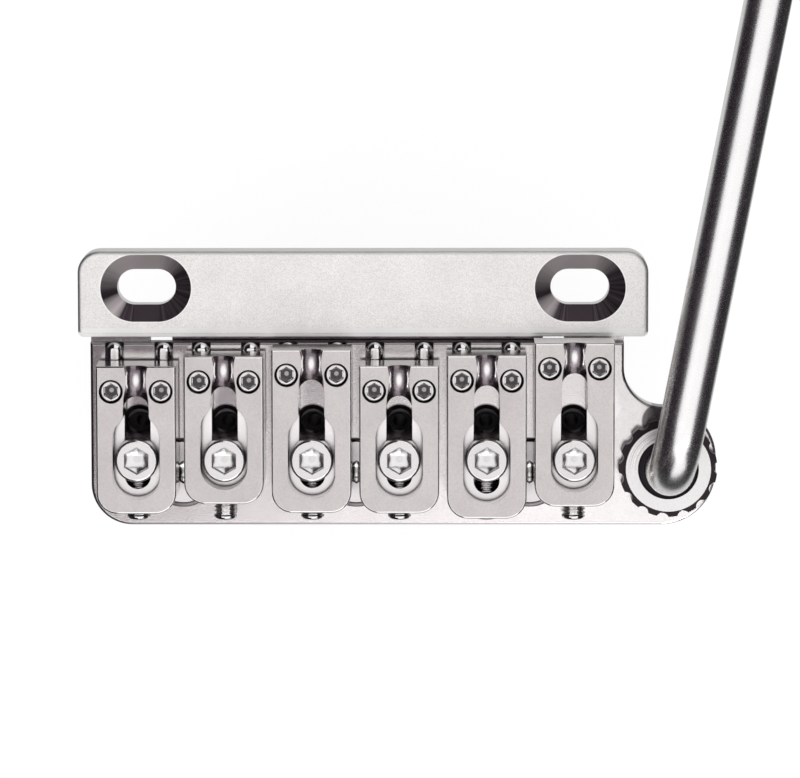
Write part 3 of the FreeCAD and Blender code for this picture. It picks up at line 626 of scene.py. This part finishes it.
# white to the camera but for the shadow; the metal mirrors a grey glow close by and dark further out
def whiteFloor():
    material = bpy.data.materials.new("table")
    material.use_nodes = True
    tree = material.node_tree
    tree.nodes.clear()
    path = addNode(tree, "ShaderNodeLightPath").outputs
    place = addNode(tree, "ShaderNodeTexCoord").outputs["Object"]
    distance = vectors(tree, "DISTANCE", place, (*studio["glowAt"], floorLevel))
    fadeEnd = studio["glowReach"] + studio["glowFade"]
    glow = remap(tree, distance, studio["glowReach"], fadeEnd, studio["glow"], studio["glowOutside"])
    seen = sums(tree, "MAXIMUM", glow, inverse(tree, path["Is Glossy Ray"]))
    strength = addNode(tree, "ShaderNodeEmission", {"Color": (1, 1, 1, 1), "Strength": seen}).outputs[0]
    paint = addNode(tree, "ShaderNodeBsdfDiffuse", {"Color": studio["floorPaint"]}).outputs[0]
    shown = sums(tree, "MULTIPLY", path["Is Camera Ray"], 1 - studio["shadowShare"])
    mirrored = sums(tree, "MAXIMUM", path["Is Glossy Ray"], path["Is Transmission Ray"])
    shown = sums(tree, "MAXIMUM", shown, mirrored)
    mixed = addNode(tree, "ShaderNodeMixShader", {0: shown, 1: paint, 2: strength}).outputs[0]
    addNode(tree, "ShaderNodeOutputMaterial", {"Surface": mixed})
    material.cycles.emission_sampling = "NONE"
    return material


def stagePlate(name, corners, material):
    mesh = bpy.data.meshes.new(name)
    mesh.from_pydata(corners, [], [tuple(range(len(corners)))])
    mesh.materials.append(material)
    plate = bpy.data.objects.new(name, mesh)
    bpy.context.scene.collection.objects.link(plate)
    return plate


def levelCorners(look):
    height = look["height"]
    sides = (("left", "rear"), ("right", "rear"), ("right", "front"), ("left", "front"))
    return [(look[x], look[y], height) for x, y in sides]


def reflectedOnly(plate):
    plate.visible_camera = False
    plate.visible_diffuse = False
    plate.visible_shadow = False


half = studio["floorHalf"]
tableTop = {"height": floorLevel, "left": -half, "right": half, "rear": -half, "front": half}
stagePlate("table", levelCorners(tableTop), whiteFloor())

wallMaterial, _, wallShader = startMaterial("darkWall")
wallShader.inputs["Base Color"].default_value = (*studio["wallTone"], 1)
wallShader.inputs["Roughness"].default_value = 1.0
wallShader.inputs["Specular IOR Level"].default_value = 0.0
walls = {
    "left": {"start": (-0.5, -0.5), "end": (-0.5, 0.5), "top": 0.66},
    "right": {"start": (0.5, 0.5), "end": (0.5, -0.5), "top": 0.42},
    "front": {"start": (-0.5, 0.5), "end": (-0.05, 0.5), "top": 0.66},
    "rearLeft": {"start": (-0.6, -0.6), "end": (-0.1, -0.62), "top": 0.72},
    "rearRight": {"start": (0.42, -0.62), "end": (0.6, -0.6), "top": 0.72},
}
for side, wall in walls.items():
    start, end, top = wall["start"], wall["end"], wall["top"]
    corners = [(*start, floorLevel), (*end, floorLevel), (*end, top), (*start, top)]
    reflectedOnly(stagePlate(f"darkWall{side.capitalize()}", corners, wallMaterial))

# a dark flag overhead, so that only the softboxes below it show in flat tops
overhead = {"height": 0.72, "left": -0.6, "right": 0.84, "rear": -0.55, "front": 0.6}
reflectedOnly(stagePlate("darkFlag", levelCorners(overhead), wallMaterial))

# a dim plum card under the flag gives the smooth base plate its dark half
card = {"height": 0.7, "left": -0.2, "right": 0.06, "rear": -0.22, "front": 0.0,
        "tone": (0.12, 0.085, 0.105)}
cardMaterial, _, cardShader = startMaterial("plumCard")
cardShader.inputs["Base Color"].default_value = (0, 0, 0, 1)
cardShader.inputs["Specular IOR Level"].default_value = 0.0
cardShader.inputs["Emission Color"].default_value = (*card["tone"], 1)
cardShader.inputs["Emission Strength"].default_value = 1.0
reflectedOnly(stagePlate("plumCard", levelCorners(card), cardMaterial))

world = bpy.data.worlds.new("sky")
bpy.context.scene.world = world
world.use_nodes = True
world.node_tree.nodes["Background"].inputs["Color"].default_value = (1, 1, 1, 1)
world.cycles.sampling_method = "NONE"

# the base plate and wheel have lamps of their own, and the large softboxes pass them by
ownLamps = ("base_plate", "tension_wheel")
lamps = {
    "softbox": {"kind": "AREA", "at": (0.15, -0.135, 0.5), "turn": 0, "size": (0.84, 0.97),
                "watts": 2.56, "state": "EXCLUDE", "nodes": ownLamps},
    "sideSoftbox": {"kind": "AREA", "at": (-0.385, -0.135, 0.5), "turn": 0, "size": (0.23, 0.97),
                    "watts": 0.68, "state": "EXCLUDE", "nodes": (*ownLamps, "arm")},
    "baseSoftbox": {"kind": "AREA", "at": (0.004, -0.136, 0.45), "turn": 28, "size": (0.338, 0.13),
                    "watts": 0.15, "state": "INCLUDE", "nodes": ownLamps},
    "frontSoftbox": {"kind": "AREA", "at": (0.0, 0.055, 0.45), "turn": 0, "size": (0.32, 0.14),
                     "watts": 0.1, "state": "INCLUDE", "nodes": ownLamps},
    "rearLamp": {"kind": "SPOT", "at": (0.21, -0.493, 0.395), "aim": (0.036, -0.025, 0.005), "cone": 14,
                 "radius": 0.02, "watts": 26.0, "state": "INCLUDE", "nodes": ownLamps},
}


# only, or all but, the listed pieces receive the lamp's light
def linkLamp(lamp, look):
    linked = bpy.data.collections.new(f"{lamp.name}Flags")
    for node in look["nodes"]:
        linked.objects.link(nodes[node])
    for entry in linked.collection_objects:
        entry.light_linking.link_state = look["state"]
    lamp.light_linking.receiver_collection = linked


for name, look in lamps.items():
    light = bpy.data.lights.new(name, look["kind"])
    light.energy = look["watts"]
    lamp = bpy.data.objects.new(name, light)
    lamp.location = look["at"]
    if look["kind"] == "AREA":
        light.shape = "RECTANGLE"
        light.size, light.size_y = look["size"]
        lamp.rotation_euler = (0, 0, math.radians(look["turn"]))
    else:
        light.spot_size = math.radians(look["cone"])
        light.spot_blend = 1.0
        light.shadow_soft_size = look["radius"]
        beam = Vector(look["aim"]) - Vector(look["at"])
        lamp.rotation_euler = beam.to_track_quat("-Z", "Y").to_euler()
    bpy.context.scene.collection.objects.link(lamp)
    lamp.visible_camera = False
    linkLamp(lamp, look)
print("studio lit:", len(lamps), "lamps")

# camera above the neck's side of the bridge, looking down
cameraLook = {"at": (9.369 * mm, 64.873 * mm, 667.081 * mm), "turn": (-6.716, 0.39, -0.074),
              "lens": 232.35, "sensor": 36.0, "nearest": 0.01}
camera = bpy.data.cameras.new("camera")
camera.lens = cameraLook["lens"]
camera.sensor_width = cameraLook["sensor"]
camera.clip_start = cameraLook["nearest"]
cameraObject = bpy.data.objects.new("camera", camera)
cameraObject.location = cameraLook["at"]
cameraObject.rotation_euler = [math.radians(angle) for angle in cameraLook["turn"]]
bpy.context.scene.collection.objects.link(cameraObject)
bpy.context.scene.camera = cameraObject
bpy.context.scene.view_settings.view_transform = "Standard"
